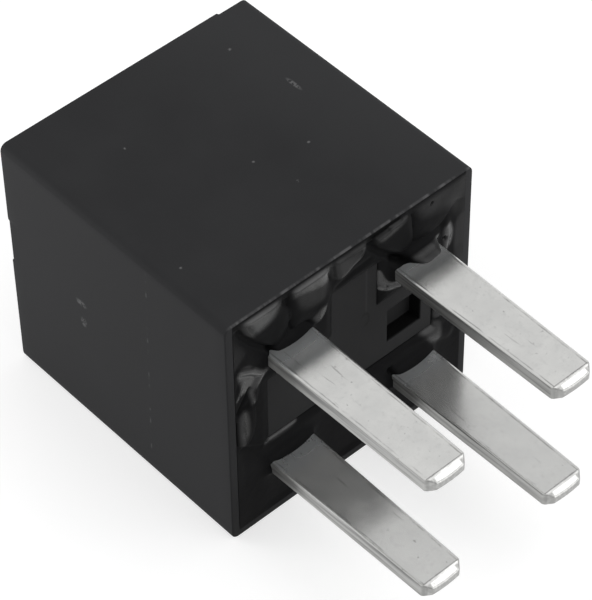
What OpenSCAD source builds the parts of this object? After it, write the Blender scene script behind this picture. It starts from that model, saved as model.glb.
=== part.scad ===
// Sealed plug-in automotive relay with four flat blades, single pole, normally open.
//
// Every piece is drawn in an upright frame and laid down by lay(): there the blades point down,
// Z is the height above the cover's rim, Y runs along the blades' width and X across their
// thickness. Laid down, the relay rests on one side wall with its blades along +X.

/* [Cover] */
// Width of the cover, along the blades' width
cover_w = 15.8; // [15.4:0.1:17]
// Depth of the cover, across the blades' thickness
cover_d = 15.3; // [14.8:0.1:16.4]
// Length of the cover from its rim to its closed end
cover_l = 16.5; // [16:0.1:19]
// Wall of the cover
cover_wall = 0.8; // [0.6:0.05:0.9]
// Thickness of the cover's closed end
cover_end = 0.9; // [0.7:0.05:1.2]
// Radius of the cover's four long edges
long_edge_r = 0.6; // [0.3:0.05:0.8]
// Radius of the edges round the closed end
end_edge_r = 0.3; // [0.15:0.05:0.6]
// Chamfer on the outside of the rim
rim_chamfer = 0.08; // [0.05:0.01:0.35]
// Lead-in on the inside of the rim, which the potting fills
lead_in = 0.35; // [0.2:0.05:0.45]
// Depth of the shallow steps in the closed end
end_step = 0.13; // [0.05:0.01:0.25]
// Width of the channel that crosses the closed end
channel_w = 3; // [1.5:0.1:5]
// Distance of the channel from the middle of the closed end
channel_x = 1.1; // [0:0.1:3]
// Width of the stepped strip along one edge of the closed end
strip_w = 1.9; // [1:0.1:3]

/* [Base] */
// Gap between the base and the cover's walls
base_gap = 0.05; // [0.02:0.01:0.12]
// Thickness of the base plate
plate_t = 1.75; // [1.5:0.05:2.3]
// Depth of the island's face inside the rim
island_drop = 0.2; // [0.1:0.05:0.5]
// Height of the island on the outside of the base plate
island_rise = 0.5; // [0.4:0.05:0.8]
// Width of the island between its sloping sides
island_w = 10.85; // [10:0.05:11.5]
// Distance of the island from the middle, along the blades' width
island_y = 0.15; // [0:0.05:0.3]
// Depth of the island across the blades' thickness
island_d = 4.2; // [3.6:0.1:5]
// Width of the island's tongue, which runs out between two blades
tongue_w = 3; // [2:0.1:4]
// Reach of the tongue past the island
tongue_l = 2.95; // [1.5:0.05:3.4]
// Distance of the tongue from the middle, along the blades' width
tongue_y = 0.35; // [0:0.05:0.8]
// Width of the island's sloping sides
island_slope = 0.4; // [0.2:0.05:0.6]
// Side of the square pocket in the island
pocket_w = 2.25; // [1.6:0.05:2.6]
// Depth of the pocket
pocket_deep = 0.8; // [0.4:0.05:1.2]
// Distance of the pocket from the middle, along the blades' width
pocket_y = 3.7; // [2.8:0.05:3.8]

/* [Potting] */
// Depth of the potting's surface inside the rim
pot_drop = 0.03; // [0.01:0.01:0.08]
// How far the potting creeps out along the blades, past the rim
creep_out = 0.45; // [0.1:0.05:0.6]
// How far it climbs along one blade, where more of it gathered
climb_out = 1.1; // [0.5:0.05:1.2]
// Width of the potting that creeps round a blade
creep_w = 0.75; // [0.4:0.05:1]

/* [Blades] */
// Width of a blade at the rim
blade_w = 2.8; // [2.6:0.05:3]
// Width of a blade where its tip's corners are cut
blade_end_w = 2.5; // [2.3:0.05:2.8]
// Thickness of a blade and of the stamping that it is part of
blade_t = 0.8; // [0.6:0.05:0.9]
// Length of the blades outside the rim
blade_out = 11; // [9:0.1:13]
// Distance between blades along their width
pitch_w = 8.1; // [7.8:0.05:8.4]
// Distance between blades across their thickness
pitch_t = 7.8; // [7.6:0.05:8.2]
// Length of the cut corners at a blade's tip
tip_cut = 0.5; // [0.3:0.05:0.8]
// Width left between the cut corners
tip_w = 1.75; // [1.4:0.05:2]
// How far the middle of a blade's end stands past its corners
tip_bow = 0.06; // [0:0.01:0.12]
// Length of the coined bevels at a blade's tip
bevel_l = 0.4; // [0.3:0.05:0.8]
// Thickness left at a blade's tip
tip_t = 0.42; // [0.3:0.02:0.5]
// Shoulder by which a blade rests on the base plate, at each side
shoulder = 0.35; // [0.2:0.05:0.5]
// Height of the shoulder
shoulder_h = 0.9; // [0.6:0.05:1]

/* [Magnet] */
// Thickness of the yoke
yoke_t = 1.2; // [1:0.05:1.4]
// Gap between the yoke's foot and the blades beside it
yoke_gap = 0.3; // [0.2:0.05:0.5]
// Diameter of the core
core_d = 3.2; // [2.8:0.1:3.8]
// Thickness of the pole face
pole_t = 0.7; // [0.5:0.05:1]
// Diameter of the core's staked end in the yoke
stake_d = 2.4; // [1.8:0.1:2.6]
// Clearance between the core and the bobbin's bore
core_gap = 0.05; // [0.03:0.01:0.1]
// Wall of the bobbin's barrel
barrel_wall = 0.5; // [0.4:0.05:0.7]
// Thickness of the bobbin's flanges
flange_t = 0.8; // [0.6:0.05:1]
// How far the bobbin's flanges reach past the armature's end
flange_over = 1.1; // [0.9:0.05:1.3]
// Depth of the bobbin's flanges
flange_d = 9.6; // [9:0.1:10.4]
// Gap between the bobbin and the yoke's leg
flange_gap = 0.1; // [0.05:0.01:0.2]
// Depth of the winding's surface inside the flanges' edges
winding_in = 0.3; // [0.2:0.05:0.8]
// Thickness of the insulating tape round the winding
tape_t = 0.12; // [0.08:0.01:0.16]
// Length of winding left bare at each end of the tape
tape_margin = 0.6; // [0.45:0.05:0.8]
// Diameter of the coil's wire where it runs to its posts
lead_d = 0.24; // [0.16:0.02:0.3]

/* [Armature] */
// Thickness of the armature
armature_t = 1.1; // [0.9:0.05:1.3]
// Angle by which the armature stands open
open_angle = 3.6; // [3:0.1:4.2]
// Air gap between the closed armature and the pole face
air_gap = 0.03; // [0.02:0.01:0.05]
// Reach of the armature past the pole face
armature_reach = 0.3; // [0.1:0.05:0.6]
// Width of the armature
armature_w = 6.6; // [6:0.1:7.4]
// Thickness of the contact spring
spring_t = 0.18; // [0.12:0.02:0.24]
// Radius of the contact spring's bend
bend_r = 0.9; // [0.8:0.05:1]
// Width of the contact spring over the armature
spring_w = 5.6; // [5:0.1:6]
// Width of the contact spring at its contact
spring_tip_w = 3; // [2.8:0.1:3.6]
// Width of the window in the spring's bend
window_w = 2.6; // [1.8:0.1:3]
// Height of the spring's rivets above the yoke's foot
spring_rivet_z = 4.2; // [3.8:0.1:4.6]
// Distance between the two rivets of a pair
rivet_pitch = 3.4; // [3:0.1:3.6]
// Diameter of a rivet's stem
rivet_d = 1.1; // [0.8:0.05:1.2]
// Diameter of a rivet's head
rivet_head_d = 1.9; // [1.6:0.05:2]
// Height of a rivet's head
rivet_head_h = 0.3; // [0.2:0.02:0.34]

/* [Contacts] */
// Diameter of the two contacts
contact_d = 2.6; // [2.2:0.1:2.8]
// Height of the moving contact's head
moving_head_h = 0.45; // [0.3:0.05:0.6]
// Height of the fixed contact's head
fixed_head_h = 0.5; // [0.35:0.05:0.65]
// Diameter of the contacts' stems
contact_stem_d = 1.5; // [1.2:0.05:1.6]
// Height of the riveted end of a contact
contact_tail_h = 0.2; // [0.15:0.01:0.25]
// Gap between the contacts and the armature's end
contact_clear = 0.95; // [0.5:0.05:1]
// Gap left between the contacts when the armature is closed
contact_gap = 0.02; // [0.01:0.01:0.04]
// Distance of the contacts from their carrier's upright
contact_in = 1.55; // [1.5:0.05:1.7]
// Width of the fixed contact's carrier
carrier_w = 3.2; // [3:0.1:3.6]
// Gap between the carrier and the cover's wall
wall_gap = 0.15; // [0.08:0.01:0.3]

/* [Backstop] */
// Thickness of the backstop's strip
stop_t = 0.5; // [0.4:0.05:0.6]
// Width of the backstop's upright
stop_w = 2.6; // [2:0.1:2.8]
// Gap between the backstop's upright and the carrier's
stop_side = 0.4; // [0.25:0.05:0.5]
// Gap between the backstop and the spring that rests on it
stop_gap = 0.02; // [0.01:0.01:0.04]
// Depth of the backstop's seat in the base plate
stop_seat = 1; // [0.6:0.05:1.3]
// Room between the backstop and the cover's closed end
end_room = 0.6; // [0.4:0.05:1]

/* [Resistor] */
// Diameter of the resistor
resistor_d = 1.5; // [1.3:0.05:1.6]
// Length of the resistor
resistor_l = 4.6; // [4:0.1:5.4]
// Diameter of the resistor's wires
resistor_wire_d = 0.45; // [0.35:0.05:0.55]
// Height of the resistor above the bobbin's lower flange
resistor_z = 4.2; // [3.8:0.1:4.6]
// Gap between the resistor and the cover's wall
resistor_gap = 0.15; // [0.1:0.05:0.4]
// Width of the posts that take the coil's and the resistor's wires
post_w = 0.9; // [0.7:0.05:1.1]
// Height of the posts above the bobbin's lower flange
post_h = 2.4; // [2:0.1:2.8]
// Distance of the posts from the blades' middle line
post_shift = 0.2; // [0:0.05:0.3]

/* [Hidden] */
$fn = 48;
through = 1; // how far a cut runs past the faces that it opens

// The room inside the cover
inner_w = cover_w - 2 * cover_wall;
inner_d = cover_d - 2 * cover_wall;
inner_top = cover_l - cover_end;

// Heights above the rim, from the base upward
plate_low = island_drop + island_rise;
plate_top = plate_low + plate_t;
foot_top = plate_top + yoke_t;
winding_low = foot_top + flange_t;

// The hinge line and what lies on it, from the closed end downward
leg_out = -inner_w / 2 + spring_t + rivet_head_h + base_gap;
leg_in = leg_out + yoke_t;
knife = 0.15; // bevel on the yoke's edge that the armature tips on
hinge_y = leg_out + knife;
carrier_out = inner_w / 2 - wall_gap;
carrier_in = carrier_out - blade_t;
contact_y = carrier_in - contact_in;
spring_end = carrier_in - hinge_y;
head_room = air_gap + armature_t + spring_t + spring_end * sin(open_angle) + stop_gap + stop_t
    + end_room;
gap_z = inner_top - head_room;
hinge_z = gap_z + air_gap;
spring_under = hinge_z + armature_t;
winding_top = gap_z - pole_t - flange_t;

// The coil fills the room between the yoke's leg and the contacts
armature_end = contact_y - contact_d / 2 - contact_clear;
armature_l = armature_end - hinge_y;
flange_w = armature_end + flange_over - leg_in - flange_gap;
coil_y = leg_in + flange_gap + flange_w / 2;
pole_d = 2 * (armature_end - armature_reach - coil_y);
winding_d = flange_w - 2 * winding_in;
barrel_d = core_d + 2 * core_gap + 2 * barrel_wall;
yoke_w = pitch_t - blade_t - 2 * yoke_gap;
rivet_run = (armature_l + bend_r) / 2; // where the armature's rivets sit along it

// The fixed contact's carrier
carrier_top = spring_under - moving_head_h - contact_gap - fixed_head_h;
tail_rim = 0.15; // how far a contact's riveted end spreads past its stem

// The contact spring's bend: it starts on the yoke's outer face and ends on the open armature
bend_y = leg_out - spring_t / 2 + bend_r;
bend_z = hinge_z + (armature_t + spring_t / 2 - bend_r + (bend_y - hinge_y) * sin(open_angle))
    / cos(open_angle);
bend_end = (bend_y - hinge_y) * cos(open_angle) + (bend_z - hinge_z) * sin(open_angle);

// The backstop, beside the carrier and over the spring's end
stop_x = -(carrier_w / 2 + stop_side + stop_w / 2);
stop_low = hinge_z + spring_end * sin(open_angle) + (armature_t + spring_t) * cos(open_angle)
    + stop_gap;
stop_reach = carrier_out - contact_y - contact_stem_d / 2 - tail_rim - stop_side / 2;

// The posts for the coil's wires
post_y = pitch_w / 2 + post_shift;
post_x = -pitch_t / 2;
post_top = winding_low + post_h;
resistor_x = -(inner_d / 2 - resistor_gap - resistor_d / 2);

module lay() {
    translate([(cover_l - blade_out) / 2, 0, cover_d / 2]) rotate([0, -90, 0]) children();
}

// A rectangle with round corners, centred on the origin
module round_rect(w, d, r) {
    square([w - 2 * r, d], center = true);
    square([w, d - 2 * r], center = true);
    for (sx = [-1, 1], sy = [-1, 1])
        translate([sx * (w / 2 - r), sy * (d / 2 - r)]) circle(r);
}

// A wire along straight runs between points, with round elbows
module wire(points, d) {
    for (i = [0:len(points) - 2]) {
        run = points[i + 1] - points[i];
        length = norm(run);
        translate(points[i])
            rotate([0, acos(run[2] / length), atan2(run[1], run[0])])
                cylinder(h = length, d = d);
    }
    for (i = [1:1:len(points) - 2]) translate(points[i]) sphere(d = d);
}

// Moves what is drawn for the closed armature, on its hinge line, to its open rest
module opened() {
    translate([0, hinge_y, hinge_z]) rotate([open_angle, 0, 0]) children();
}

// One side view of the cover: chamfered at the rim and round at the closed end
module cover_profile(w) {
    c = rim_chamfer;
    r = end_edge_r;
    polygon([[-w / 2 + c, 0], [w / 2 - c, 0], [w / 2, c], [w / 2, cover_l - r],
        [w / 2 - r, cover_l - r], [w / 2 - r, cover_l], [-w / 2 + r, cover_l],
        [-w / 2 + r, cover_l - r], [-w / 2, cover_l - r], [-w / 2, c]]);
    for (s = [-1, 1]) translate([s * (w / 2 - r), cover_l - r]) circle(r);
}

// One side view of the room that the lead-in leaves inside the rim
module rim_room_profile(w) {
    polygon([[-w / 2 - lead_in, -through], [w / 2 + lead_in, -through], [w / 2 + lead_in, 0],
        [w / 2, lead_in], [-w / 2, lead_in], [-w / 2 - lead_in, 0]]);
}

// That room, from one height to the lead-in's own
module rim_room(low) {
    intersection() {
        translate([0, 0, low]) linear_extrude(lead_in - low)
            round_rect(inner_d + 2 * lead_in, inner_w + 2 * lead_in, long_edge_r);
        translate([0, cover_w / 2, 0]) rotate([90, 0, 0])
            linear_extrude(cover_w) rim_room_profile(inner_d);
        translate([-cover_d / 2, 0, 0]) rotate([90, 0, 90])
            linear_extrude(cover_d) rim_room_profile(inner_w);
    }
}

module cover() {
    color([0.11, 0.11, 0.115]) lay() difference() {
        intersection() {
            linear_extrude(cover_l) round_rect(cover_d, cover_w, long_edge_r);
            translate([0, cover_w / 2, 0]) rotate([90, 0, 0])
                linear_extrude(cover_w) cover_profile(cover_d);
            translate([-cover_d / 2, 0, 0]) rotate([90, 0, 90])
                linear_extrude(cover_d) cover_profile(cover_w);
        }
        translate([0, 0, -through]) linear_extrude(inner_top + through)
            round_rect(inner_d, inner_w, long_edge_r / 2);
        rim_room(-through);
        translate([channel_x - channel_w / 2, -cover_w / 2 - through, cover_l - end_step])
            cube([channel_w, cover_w - strip_w + 2 * through, end_step + through]);
        translate([-cover_d / 2 - through, cover_w / 2 - strip_w, cover_l - end_step])
            cube([cover_d + 2 * through, strip_w + through, end_step + through]);
    }
}

// The island's outline, grown by an amount on every side
module island_outline(grow) {
    translate([0, island_y])
        square([island_d + 2 * grow, island_w + 2 * grow], center = true);
    translate([0, tongue_y - tongue_w / 2 - grow])
        square([island_d / 2 + tongue_l + grow, tongue_w + 2 * grow]);
}

// The raised island with its sloping sides: its foot, then steps of the slope
module island() {
    steps = 3;
    for (i = [0:steps])
        translate([0, 0, island_drop + island_rise * i / (steps + 1)])
            linear_extrude(island_rise * (steps + 1 - i) / (steps + 1))
                island_outline(island_slope * i / steps);
}

module blade_places() {
    for (sx = [-1, 1], sy = [-1, 1])
        translate([sx * pitch_t / 2, sy * pitch_w / 2]) children();
}

module base() {
    color([0.13, 0.13, 0.135]) lay() difference() {
        union() {
            translate([0, 0, plate_low]) linear_extrude(plate_t)
                round_rect(inner_d - 2 * base_gap, inner_w - 2 * base_gap, long_edge_r / 2);
            island();
        }
        blade_places() blade();
        translate([-pocket_w / 2, pocket_y - pocket_w / 2, island_drop - through])
            cube([pocket_w, pocket_w, pocket_deep + through]);
        translate([stop_x - stop_w / 2, carrier_out - stop_t, plate_top - stop_seat])
            cube([stop_w, stop_t, stop_seat + through]);
    }
}

// Potting that creeps out along a blade: a fillet from its surface to a thin lip on the blade
module creep(out) {
    lip = 0.1;
    slice = 0.01;
    hull() {
        translate([0, 0, pot_drop - slice]) linear_extrude(slice)
            round_rect(blade_t + 2 * creep_w, blade_w + 2 * creep_w, creep_w, $fn = 24);
        translate([0, 0, -out]) linear_extrude(slice)
            square([blade_t + 2 * lip, blade_w + 2 * lip], center = true);
    }
}

module potting_seal() {
    color([0.05, 0.05, 0.055]) lay() difference() {
        union() {
            translate([0, 0, pot_drop]) linear_extrude(plate_low - pot_drop)
                round_rect(inner_d, inner_w, long_edge_r / 2);
            rim_room(pot_drop);
            for (sx = [-1, 1], sy = [-1, 1])
                translate([sx * pitch_t / 2, sy * pitch_w / 2])
                    creep(sx + sy == 2 ? climb_out : creep_out);
        }
        island();
        translate([0, 0, pot_drop - through]) linear_extrude(through + island_drop - pot_drop)
            island_outline(0);
        blade_places() blade();
    }
}

// A blade outside the base plate: tip corners cut, both faces coined to a thin end
module blade() {
    low = -blade_out;
    intersection() {
        translate([-blade_t / 2, 0, 0]) rotate([90, 0, 90]) linear_extrude(blade_t)
            polygon([[-tip_w / 2, low + tip_bow], [-tip_w / 4, low + tip_bow / 4], [0, low],
                [tip_w / 4, low + tip_bow / 4], [tip_w / 2, low + tip_bow],
                [blade_end_w / 2, low + tip_cut],
                [blade_w / 2, 0], [blade_w / 2, plate_top], [-blade_w / 2, plate_top],
                [-blade_w / 2, 0], [-blade_end_w / 2, low + tip_cut]]);
        translate([0, blade_w / 2, 0]) rotate([90, 0, 0]) linear_extrude(blade_w)
            polygon([[-tip_t / 2, low], [tip_t / 2, low], [blade_t / 2, low + bevel_l],
                [blade_t / 2, plate_top], [-blade_t / 2, plate_top],
                [-blade_t / 2, low + bevel_l]]);
    }
}

// The shoulders by which a blade rests on the inside of the base plate
module shoulders() {
    translate([-blade_t / 2, -blade_w / 2 - shoulder, plate_top])
        cube([blade_t, blade_w + 2 * shoulder, shoulder_h]);
}

module common_terminal() {
    color([0.75, 0.75, 0.74]) lay() translate([pitch_t / 2, -pitch_w / 2, 0]) {
        blade();
        shoulders();
    }
}

module open_contact_terminal() {
    color([0.75, 0.75, 0.74]) lay() difference() {
        union() {
            translate([pitch_t / 2, pitch_w / 2, 0]) {
                blade();
                shoulders();
            }
            // the foot runs past the blade to the wall, turns and crosses to the upright
            translate([pitch_t / 2 - blade_t / 2, pitch_w / 2, plate_top])
                cube([blade_t, carrier_out - pitch_w / 2, shoulder_h]);
            translate([-carrier_w / 2, carrier_in, plate_top])
                cube([pitch_t / 2 + blade_t / 2 + carrier_w / 2, blade_t, shoulder_h]);
            translate([-carrier_w / 2, carrier_in, plate_top])
                cube([carrier_w, blade_t, carrier_top - plate_top]);
            // the shelf under the fixed contact
            translate([-carrier_w / 2, contact_y, carrier_top - blade_t])
                cube([carrier_w, carrier_out - contact_y, blade_t]);
            translate([0, contact_y, carrier_top - blade_t]) cylinder(h = blade_t, d = carrier_w);
        }
        translate([0, contact_y, carrier_top - blade_t - through])
            cylinder(h = blade_t + 2 * through, d = contact_stem_d);
    }
}

// A coil terminal: its blade, and the post that rises through the bobbin's lower flange
module coil_terminal(side) {
    color([0.75, 0.75, 0.74]) lay() {
        translate([post_x, side * pitch_w / 2, 0]) {
            blade();
            shoulders();
        }
        translate([post_x - blade_t / 2, side * post_y - post_w / 2, plate_top])
            cube([blade_t, post_w, post_top - plate_top]);
    }
}

module coil_terminal_a() {
    coil_terminal(-1);
}

module coil_terminal_b() {
    coil_terminal(1);
}

module yoke() {
    foot_l = coil_y + core_d / 2 + yoke_t - leg_out;
    color([0.62, 0.63, 0.64]) lay() difference() {
        union() {
            translate([-yoke_w / 2, leg_out, plate_top]) cube([yoke_w, foot_l, yoke_t]);
            // the leg, bevelled to the knife edge that the armature tips on
            translate([-yoke_w / 2, 0, plate_top]) rotate([90, 0, 90]) linear_extrude(yoke_w)
                polygon([[leg_out, 0], [leg_in, 0], [leg_in, gap_z - plate_top],
                    [hinge_y, gap_z - plate_top], [leg_out, gap_z - plate_top - knife]]);
            // the lug that is welded to the common blade
            translate([0, -pitch_w / 2 - blade_w / 2, plate_top])
                cube([pitch_t / 2 - blade_t / 2, blade_w, shoulder_h]);
        }
        translate([0, coil_y, plate_top - through])
            cylinder(h = yoke_t + 2 * through, d = stake_d);
        for (s = [-1, 1])
            translate([s * rivet_pitch / 2, leg_out - through, foot_top + spring_rivet_z])
                rotate([-90, 0, 0]) cylinder(h = yoke_t + 2 * through, d = rivet_d);
    }
}

module core() {
    color([0.66, 0.66, 0.67]) lay() translate([0, coil_y, 0]) {
        translate([0, 0, plate_top]) cylinder(h = yoke_t, d = stake_d);
        translate([0, 0, foot_top]) cylinder(h = gap_z - foot_top, d = core_d);
        translate([0, 0, gap_z - pole_t]) cylinder(h = pole_t, d = pole_d);
    }
}

// A bobbin flange's outline, which may run on past the coil at one side
module flange_outline(more) {
    translate([0, more / 2]) round_rect(flange_d, flange_w + more, 1);
}

module bobbin() {
    bore = core_d + 2 * core_gap;
    post_edge = 0.5; // flange left outside a post
    post_room = post_y + post_w / 2 + post_edge - coil_y - flange_w / 2;
    color([0.16, 0.3, 0.26]) lay() difference() {
        translate([0, coil_y, 0]) {
            translate([0, 0, foot_top]) linear_extrude(flange_t) flange_outline(post_room);
            translate([0, 0, foot_top]) cylinder(h = winding_top - foot_top, d = barrel_d);
            translate([0, 0, winding_top]) linear_extrude(flange_t) flange_outline(0);
        }
        translate([0, coil_y, foot_top - through])
            cylinder(h = winding_top - foot_top + flange_t + 2 * through, d = bore);
        for (s = [-1, 1])
            translate([post_x - blade_t / 2, s * post_y - post_w / 2, foot_top - through])
                cube([blade_t, post_w, flange_t + 2 * through]);
    }
}

module coil_winding() {
    color([0.6, 0.28, 0.14]) lay() translate([0, coil_y, winding_low]) difference() {
        cylinder(h = winding_top - winding_low, d = winding_d);
        translate([0, 0, -through])
            cylinder(h = winding_top - winding_low + 2 * through, d = barrel_d);
    }
}

module coil_tape() {
    tape_l = winding_top - winding_low - 2 * tape_margin;
    color([0.72, 0.6, 0.2]) lay() translate([0, coil_y, winding_low + tape_margin]) difference() {
        cylinder(h = tape_l, d = winding_d + 2 * tape_t);
        translate([0, 0, -through]) cylinder(h = tape_l + 2 * through, d = winding_d);
    }
}

// A coil end: straight from the winding to its post, then turns round the post
module coil_lead(side) {
    turns_h = 3 * lead_d;
    z = winding_low + lead_d;
    at_post = [post_x, side * post_y, 0];
    toward = at_post - [0, coil_y, 0];
    from = [0, coil_y, z] + toward * ((winding_d / 2 - lead_d) / norm(toward));
    difference() {
        union() {
            wire([from, at_post + [0, 0, z]], lead_d);
            translate(at_post + [0, 0, winding_low]) linear_extrude(turns_h)
                round_rect(blade_t + 2 * lead_d, post_w + 2 * lead_d, lead_d);
        }
        translate(at_post + [-blade_t / 2, -post_w / 2, winding_low - through])
            cube([blade_t, post_w, turns_h + 2 * through]);
        translate([0, coil_y, winding_low - through])
            cylinder(h = turns_h + 2 * through, d = winding_d);
    }
}

module coil_leads() {
    color([0.68, 0.34, 0.18]) lay() for (side = [-1, 1]) coil_lead(side);
}

// The armature lies closed on its hinge line: Y runs along it and Z up from its pole side
module armature() {
    back_cut = 0.7; // keeps the armature's back edge inside the spring's bend
    color([0.64, 0.65, 0.66]) lay() opened() difference() {
        translate([-armature_w / 2, 0, 0]) rotate([90, 0, 90]) linear_extrude(armature_w)
            polygon([[0, 0], [armature_l, 0], [armature_l, armature_t], [back_cut, armature_t],
                [0, armature_t - back_cut]]);
        for (s = [-1, 1]) translate([s * rivet_pitch / 2, rivet_run, -through])
            cylinder(h = armature_t + 2 * through, d = rivet_d);
    }
}

module contact_spring() {
    leg_margin = 0.4; // spring left below its rivets' heads
    leg_low = foot_top + spring_rivet_z - rivet_head_d / 2 - leg_margin;
    neck_end = contact_y - hinge_y; // the arm narrows as far as the contact
    color([0.78, 0.5, 0.3]) lay() difference() {
        union() {
            translate([-spring_w / 2, leg_out - spring_t, leg_low])
                cube([spring_w, spring_t, bend_z - leg_low]);
            // the bend over the yoke's knife edge
            translate([-spring_w / 2, bend_y, bend_z]) rotate([90, 0, 90])
                linear_extrude(spring_w) intersection() {
                    difference() {
                        circle(bend_r + spring_t / 2);
                        circle(bend_r - spring_t / 2);
                    }
                    far = 2 * bend_r;
                    polygon([[0, 0], [-far, 0], [-far, far],
                        [-far * sin(open_angle), far * cos(open_angle)]]);
                }
            opened() translate([0, 0, armature_t]) {
                translate([-spring_w / 2, bend_end, 0])
                    cube([spring_w, armature_l - bend_end, spring_t]);
                // the arm narrows past the armature to the contact
                linear_extrude(spring_t)
                    polygon([[-spring_w / 2, armature_l], [spring_w / 2, armature_l],
                        [spring_tip_w / 2, neck_end], [spring_tip_w / 2, spring_end],
                        [-spring_tip_w / 2, spring_end], [-spring_tip_w / 2, neck_end]]);
            }
        }
        // the window that leaves two narrow straps at the bend
        translate([-window_w / 2, leg_out - spring_t - through, bend_z - bend_r])
            cube([window_w, bend_r + spring_t + through, 3 * bend_r]);
        for (s = [-1, 1]) {
            translate([s * rivet_pitch / 2, leg_out - through, foot_top + spring_rivet_z])
                rotate([-90, 0, 0]) cylinder(h = 2 * through, d = rivet_d);
            opened() translate([s * rivet_pitch / 2, rivet_run, 0])
                cylinder(h = 2 * armature_t, d = rivet_d);
        }
        opened() translate([0, contact_y - hinge_y, armature_t - through])
            cylinder(h = 2 * through, d = contact_stem_d);
    }
}

// A contact: a slightly domed head, a stem and a riveted end, with the head's face upward
module contact(head_h, stem_l) {
    dome = 0.12;
    r = contact_d / 2;
    stem_r = contact_stem_d / 2;
    tail_r = stem_r + tail_rim;
    tail_z = -stem_l - contact_tail_h;
    rotate_extrude() polygon([[0, tail_z], [tail_r, tail_z], [tail_r, -stem_l], [stem_r, -stem_l],
        [stem_r, 0], [r, 0], [r, head_h - dome], [r * 0.7, head_h], [0, head_h]]);
}

module moving_contact() {
    color([0.82, 0.82, 0.8]) lay() opened() translate([0, contact_y - hinge_y, armature_t])
        rotate([180, 0, 0]) contact(moving_head_h, spring_t);
}

module fixed_contact() {
    color([0.82, 0.82, 0.8]) lay() translate([0, contact_y, carrier_top])
        contact(fixed_head_h, blade_t);
}

// A rivet with its stem's free end at the origin and its head above
module rivet(stem_l) {
    cylinder(h = stem_l, d = rivet_d);
    translate([0, 0, stem_l]) cylinder(h = rivet_head_h, d = rivet_head_d);
}

module spring_rivets() {
    color([0.72, 0.68, 0.5]) lay() for (s = [-1, 1])
        translate([s * rivet_pitch / 2, leg_in, foot_top + spring_rivet_z]) rotate([90, 0, 0])
            rivet(yoke_t + spring_t);
}

module armature_rivets() {
    color([0.72, 0.68, 0.5]) lay() opened() for (s = [-1, 1])
        translate([s * rivet_pitch / 2, rivet_run, 0]) rivet(armature_t + spring_t);
}

// The backstop stands beside the carrier and reaches over the spring's end
module backstop() {
    color([0.7, 0.68, 0.6]) lay() {
        translate([stop_x - stop_w / 2, carrier_out - stop_t, plate_top - stop_seat])
            cube([stop_w, stop_t, stop_low + stop_t - plate_top + stop_seat]);
        translate([stop_x - stop_w / 2, carrier_out - stop_reach, stop_low])
            cube([spring_tip_w / 2 - stop_x + stop_w / 2, stop_reach, stop_t]);
    }
}

module resistor_body() {
    z = winding_low + resistor_z;
    r = resistor_d / 2;
    color([0.25, 0.42, 0.55]) lay() translate([resistor_x, -resistor_l / 2, z])
        rotate([-90, 0, 0]) rotate_extrude()
            polygon([[0, 0], [r * 0.75, 0], [r, r * 0.4], [r, resistor_l - r * 0.4],
                [r * 0.75, resistor_l], [0, resistor_l]]);
}

module resistor_leads() {
    z = winding_low + resistor_z;
    low = post_top - resistor_wire_d;
    face = post_x - blade_t / 2;
    color([0.75, 0.75, 0.76]) lay() for (side = [-1, 1])
        wire([[resistor_x, side * resistor_l / 2, z], [resistor_x, side * post_y, z],
            [resistor_x, side * post_y, low], [face, side * post_y, low]], resistor_wire_d);
}

cover();
base();
potting_seal();
common_terminal();
open_contact_terminal();
coil_terminal_a();
coil_terminal_b();
yoke();
core();
bobbin();
coil_winding();
coil_tape();
coil_leads();
armature();
contact_spring();
moving_contact();
fixed_contact();
spring_rivets();
armature_rivets();
backstop();
resistor_body();
resistor_leads();
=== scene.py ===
"""A sealed four-blade automotive relay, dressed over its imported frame.

Lengths in the shape functions are millimetres: X out of the cover's mouth from its rim, Y along
the blades' width and Z up, both from the relay's middle. placed() turns them into the frame's
metres.
"""
import math

import bmesh
import bpy
import numpy as np
from mathutils import Matrix, Vector


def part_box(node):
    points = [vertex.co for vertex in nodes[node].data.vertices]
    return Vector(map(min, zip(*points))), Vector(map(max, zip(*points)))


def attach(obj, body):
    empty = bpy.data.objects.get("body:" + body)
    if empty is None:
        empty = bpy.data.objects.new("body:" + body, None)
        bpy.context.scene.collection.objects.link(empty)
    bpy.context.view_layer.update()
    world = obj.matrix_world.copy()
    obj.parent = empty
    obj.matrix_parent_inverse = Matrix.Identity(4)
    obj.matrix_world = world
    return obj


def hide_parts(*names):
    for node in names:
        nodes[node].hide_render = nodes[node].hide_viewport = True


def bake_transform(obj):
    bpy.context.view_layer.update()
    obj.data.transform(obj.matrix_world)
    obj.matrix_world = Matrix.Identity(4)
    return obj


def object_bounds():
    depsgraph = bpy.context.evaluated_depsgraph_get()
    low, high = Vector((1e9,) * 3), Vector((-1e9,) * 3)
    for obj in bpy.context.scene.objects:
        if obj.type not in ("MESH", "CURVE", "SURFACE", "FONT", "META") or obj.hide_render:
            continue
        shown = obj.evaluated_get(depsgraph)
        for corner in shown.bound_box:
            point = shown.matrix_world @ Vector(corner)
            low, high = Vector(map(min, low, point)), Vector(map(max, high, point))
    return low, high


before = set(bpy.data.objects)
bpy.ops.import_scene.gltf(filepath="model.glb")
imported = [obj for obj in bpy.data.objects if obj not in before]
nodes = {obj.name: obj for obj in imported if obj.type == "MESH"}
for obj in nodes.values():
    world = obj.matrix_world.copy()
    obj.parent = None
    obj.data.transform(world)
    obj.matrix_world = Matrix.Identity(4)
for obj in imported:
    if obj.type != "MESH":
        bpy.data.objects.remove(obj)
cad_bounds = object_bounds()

MM = 0.001

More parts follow.
